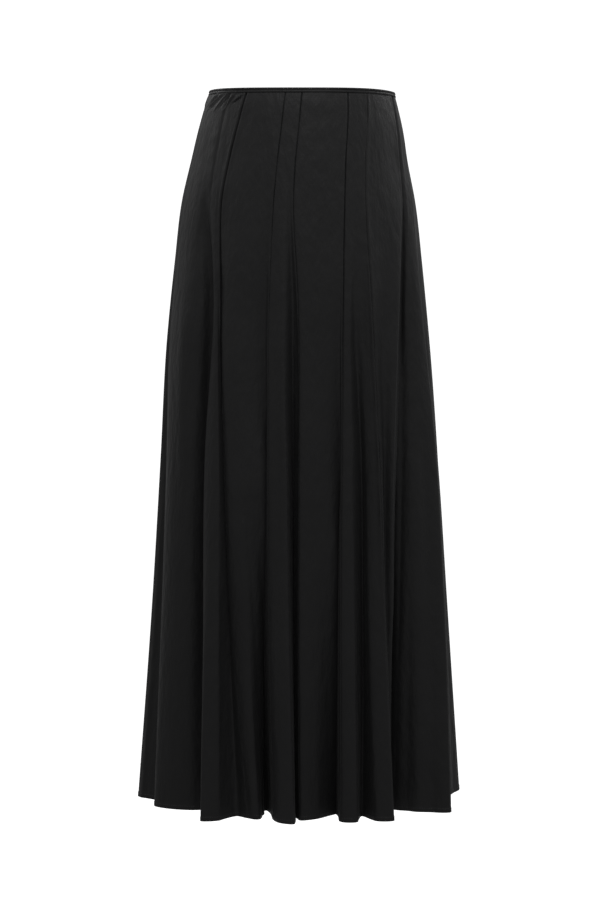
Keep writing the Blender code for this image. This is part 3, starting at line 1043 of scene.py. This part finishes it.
@dataclass
class Stitching:
    """A row of stitches that runs round the skirt on its cloth.

    Each pair of `rings` is a share of the stitch's length and a share of its radius there.
    """

    name: str
    pitch: float = 0.0030
    length: float = 0.0023
    radius: float = 0.00018
    sides: int = 6
    rings: tuple[tuple[float, float], ...] = ((0.0, 0.35), (0.15, 0.85), (0.5, 1.0), (0.85, 0.85), (1.0, 0.35))
    arch: float = 1.1
    sink: float = 0.6

    def dress(
        self, path: np.ndarray, outward: np.ndarray, material: bpy.types.Material, slot: str
    ) -> bpy.types.Object:
        """Lay the stitches along a closed path.

        Args:
            path: Points of the path, on the cloth's face.
            outward: Direction off the cloth at each point.
            material: The thread.
            slot: The record's material slot of the cloth that it sews. It is not used.

        Returns:
            The piece.
        """
        closed = np.concatenate([path, path[:1]])
        facing = np.concatenate([outward, outward[:1]])
        arc = np.concatenate([[0.0], np.cumsum(np.linalg.norm(np.diff(closed, axis=0), axis=1))])
        count = int(arc[-1] / self.pitch)
        angles = np.arange(self.sides) * math.tau / self.sides
        points = []
        starts = np.arange(count) * arc[-1] / count
        for along, size in self.rings:
            at = starts + along * self.length
            centre = np.stack([np.interp(at, arc, closed[:, axis]) for axis in range(3)], axis=1)
            ahead = np.stack([np.interp(at + self.length / 4, arc, closed[:, axis]) for axis in range(3)], axis=1)
            out = np.stack([np.interp(at, arc, facing[:, axis]) for axis in range(3)], axis=1)
            forward = ahead - centre
            forward /= np.linalg.norm(forward, axis=1, keepdims=True)
            side = np.cross(forward, out)
            centre = centre + out * self.radius * (self.arch * math.sin(math.pi * along) - self.sink)
            ring = [
                centre + self.radius * size * (math.cos(angle) * side + math.sin(angle) * out) for angle in angles
            ]
            points.append(np.stack(ring, axis=1))
        grid = np.stack(points, axis=1)
        corner = np.arange(count)[:, None, None] * len(self.rings) * self.sides
        corner = corner + np.arange(len(self.rings) - 1)[None, :, None] * self.sides
        side = np.arange(self.sides)[None, None, :]
        after = (side + 1) % self.sides
        faces = np.stack(
            [corner + side, corner + after, corner + self.sides + after, corner + self.sides + side], axis=-1
        )
        mesh = quad_mesh(self.name, grid.reshape(-1, 3), faces.reshape(-1, 4))
        return shown(self.name, mesh, material)


class SoftBox(NamedTuple):
    """A soft light: where it stands, in metres, its size and its power in watts."""

    name: str
    place: tuple[float, float, float]
    width: float
    height: float
    power: float


SOFT_BOXES = (
    SoftBox(name="soft_box_above", place=(0.0, -1.6, 2.0), width=1.6, height=1.0, power=35.0),
    SoftBox(name="soft_box_above_right", place=(1.3, -1.6, 1.8), width=1.0, height=1.0, power=5.5),
    SoftBox(name="soft_box_left", place=(-1.1, -0.1, 0.5), width=0.5, height=0.8, power=2.3),
    SoftBox(name="soft_box_right", place=(1.1, -0.1, 0.5), width=0.5, height=0.8, power=2.4),
    SoftBox(name="soft_box_back_left", place=(-1.2, 0.9, 0.9), width=0.7, height=0.7, power=5.7),
    SoftBox(name="soft_box_back_right", place=(1.2, 0.9, 0.9), width=0.7, height=0.7, power=7.4),
)


@dataclass
class Studio:
    """Pale floor and backdrop, soft lights and the camera."""

    floor_drop: float = 0.55
    half_width: float = 8.0
    back: float = 8.0
    height: float = 5.0
    curve: float = 1.5
    curve_steps: int = 13
    paper: tuple[float, float, float, float] = (0.93, 0.93, 0.93, 1.0)
    paper_roughness: float = 0.9
    paper_specular: float = 0.1
    room_light: float = 0.318
    paper_glow: float = 0.8
    aim_height: float = -0.40
    camera_place: tuple[float, float, float] = (-0.00329, -2.8, -0.27214)
    camera_pitch: float = 4.0377
    lens: float = 85.0
    sensor_height: float = 36.0

    def build_floor(self, length: float) -> bpy.types.Object:
        """Make one pale sheet that is the floor and curves up to the backdrop.

        Args:
            length: Length of the skirt.

        Returns:
            The floor.
        """
        low = -length - self.floor_drop
        turn = np.linspace(0, math.pi / 2, self.curve_steps)
        depth = np.concatenate([[-self.back], self.back - self.curve + self.curve * np.sin(turn), [self.back]])
        height = np.concatenate([[low], low + self.curve * (1 - np.cos(turn)), [low + self.height]])
        left = np.stack([np.full(len(depth), -self.half_width), depth, height], axis=1)
        right = left * np.array([-1, 1, 1])
        index = np.arange(len(depth))
        faces = strip_faces(index, len(depth), True)
        mesh = quad_mesh("studio_floor", np.concatenate([left, right]), faces)
        board = NodeBoard("pale_paper")
        board.shader.inputs["Base Color"].default_value = self.paper
        board.shader.inputs["Roughness"].default_value = self.paper_roughness
        board.shader.inputs["Specular IOR Level"].default_value = self.paper_specular
        board.shader.inputs["Emission Color"].default_value = WHITE
        board.shader.inputs["Emission Strength"].default_value = self.paper_glow
        mesh.materials.append(board.material)
        floor = bpy.data.objects.new("studio_floor", mesh)
        floor.visible_diffuse = False
        floor.visible_glossy = False
        bpy.context.scene.collection.objects.link(floor)
        return floor

    def add_light(self, box: SoftBox) -> None:
        """Add a soft box that looks at the skirt.

        Args:
            box: Its place, size and power.
        """
        lamp = bpy.data.lights.new(box.name, "AREA")
        lamp.shape = "RECTANGLE"
        lamp.size, lamp.size_y = box.width, box.height
        lamp.energy = box.power
        obj = bpy.data.objects.new(box.name, lamp)
        obj.location = box.place
        aim = Vector((0.0, 0.0, self.aim_height)) - Vector(box.place)
        obj.rotation_euler = aim.to_track_quat("-Z", "Y").to_euler()
        bpy.context.scene.collection.objects.link(obj)

    def light_up(self) -> None:
        """Light the skirt softly from above, both sides and behind, with white all round."""
        scene = bpy.context.scene
        world = scene.world or bpy.data.worlds.new("white_room")
        scene.world = world
        world.use_nodes = True
        tree = world.node_tree
        room = tree.nodes["Background"]
        room.inputs["Color"].default_value = WHITE
        room.inputs["Strength"].default_value = self.room_light
        backdrop = tree.nodes.new("ShaderNodeBackground")
        backdrop.inputs["Color"].default_value = WHITE
        chosen = tree.nodes.new("ShaderNodeMixShader")
        seen = tree.nodes.new("ShaderNodeLightPath").outputs["Is Camera Ray"]
        tree.links.new(seen, chosen.inputs["Fac"])
        tree.links.new(room.outputs["Background"], chosen.inputs[1])
        tree.links.new(backdrop.outputs["Background"], chosen.inputs[2])
        tree.links.new(chosen.outputs["Shader"], tree.nodes["World Output"].inputs["Surface"])
        for lamp in SOFT_BOXES:
            self.add_light(lamp)
        scene.view_settings.view_transform = "Standard"

    def place_camera(self) -> None:
        """Stand the camera in front of the skirt, a little above its middle and tipped down."""
        lens = bpy.data.cameras.new("camera")
        lens.lens = self.lens
        lens.sensor_fit = "VERTICAL"
        lens.sensor_height = self.sensor_height
        camera = bpy.data.objects.new("camera", lens)
        camera.location = self.camera_place
        camera.rotation_euler = (math.radians(90 - self.camera_pitch), 0.0, 0.0)
        bpy.context.scene.collection.objects.link(camera)
        bpy.context.scene.camera = camera


def gores() -> list[Gore]:
    """The sixteen gores, wide and narrow in turn, from the left of the front all round."""
    count = sum(line.kind is SEAM for line in GUIDE_LINES)
    widths = ("wide", "narrow")
    return [Gore(name=f"gore_{widths[order % 2]}_{order // 2 + 1}", index=order) for order in range(count)]


def main() -> None:
    """Build the skirt, its sewing and its studio."""
    logging.basicConfig(level=logging.INFO, format="%(message)s")
    for obj in list(bpy.data.objects):
        bpy.data.objects.remove(obj, do_unlink=True)
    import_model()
    crepe = CrepeFinish().material()
    thread = ThreadFinish().material()
    surface = ClothSurface(SkirtForm())
    log.info("surface: %d rows, %d columns", *surface.outer.shape[:2])
    for gore in gores():
        piece = gore.dress(surface, crepe)
        log.info("%s: %d faces", piece.name, len(piece.data.polygons))
    binding = WaistBinding().dress(surface, crepe)
    log.info("%s: %d faces", binding.name, len(binding.data.polygons))
    hem_row = int(np.argmin(np.abs(surface.depths - HEM_STITCH_DEPTH)))
    facing = surface.outer[hem_row] - surface.inner[hem_row]
    facing /= np.linalg.norm(facing, axis=1, keepdims=True)
    hem = Stitching("hem_stitching").dress(surface.outer[hem_row], facing, thread, "skirt_cloth")
    log.info("%s: %d faces", hem.name, len(hem.data.polygons))
    studio = Studio()
    studio.build_floor(surface.form.length)
    studio.light_up()
    studio.place_camera()


if __name__ == "__main__":
    main()
